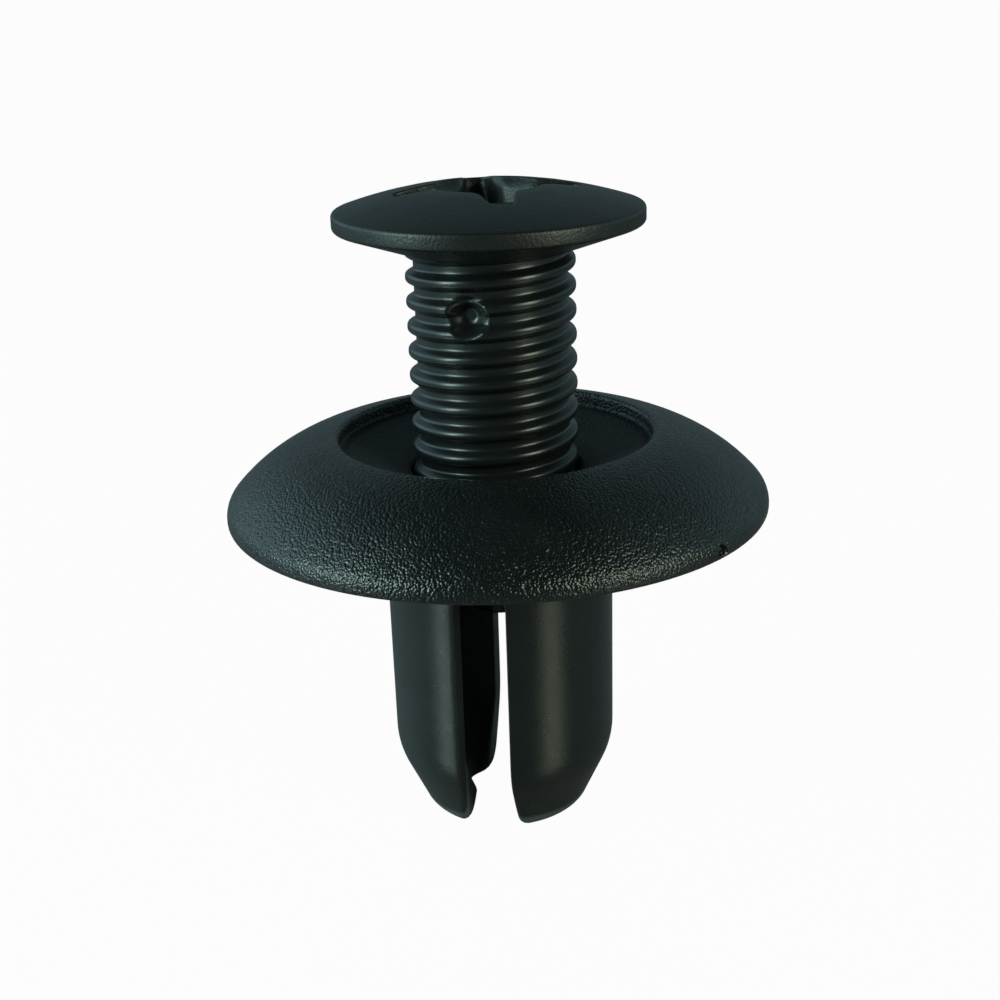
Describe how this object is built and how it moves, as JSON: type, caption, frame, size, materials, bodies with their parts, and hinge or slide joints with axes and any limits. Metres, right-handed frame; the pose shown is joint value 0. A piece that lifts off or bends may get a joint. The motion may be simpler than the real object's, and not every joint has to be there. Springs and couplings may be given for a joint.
{
  "type": "screw rivet trim clip",
  "caption": "Black plastic screw rivet for trim panels: a domed flange on two split tapered legs, with a raised cross-recess screw that is driven in to spread them.",
  "frame": {"origin": "centre of the flange's seating plane, on the common axis of grommet and screw", "axes": "+Z along the axis from the panel towards the screw's head; the slot between the two legs lies along Y"},
  "size_m": [0.02, 0.02, 0.024],
  "materials": {
    "grommet_plastic": "fine moulded grain",
    "screw_plastic": "fine moulded grain"
  },
  "bodies": {
    "grommet": {"grommet": "grommet_plastic"},
    "screw": {"expander_screw": "screw_plastic"}
  },
  "joints": [
    {"name": "screw_travel", "type": "slide", "parent": "grommet", "child": "screw", "axis": [0, 0, 1], "range_m": [-0.008, 0.002]}
  ]
}
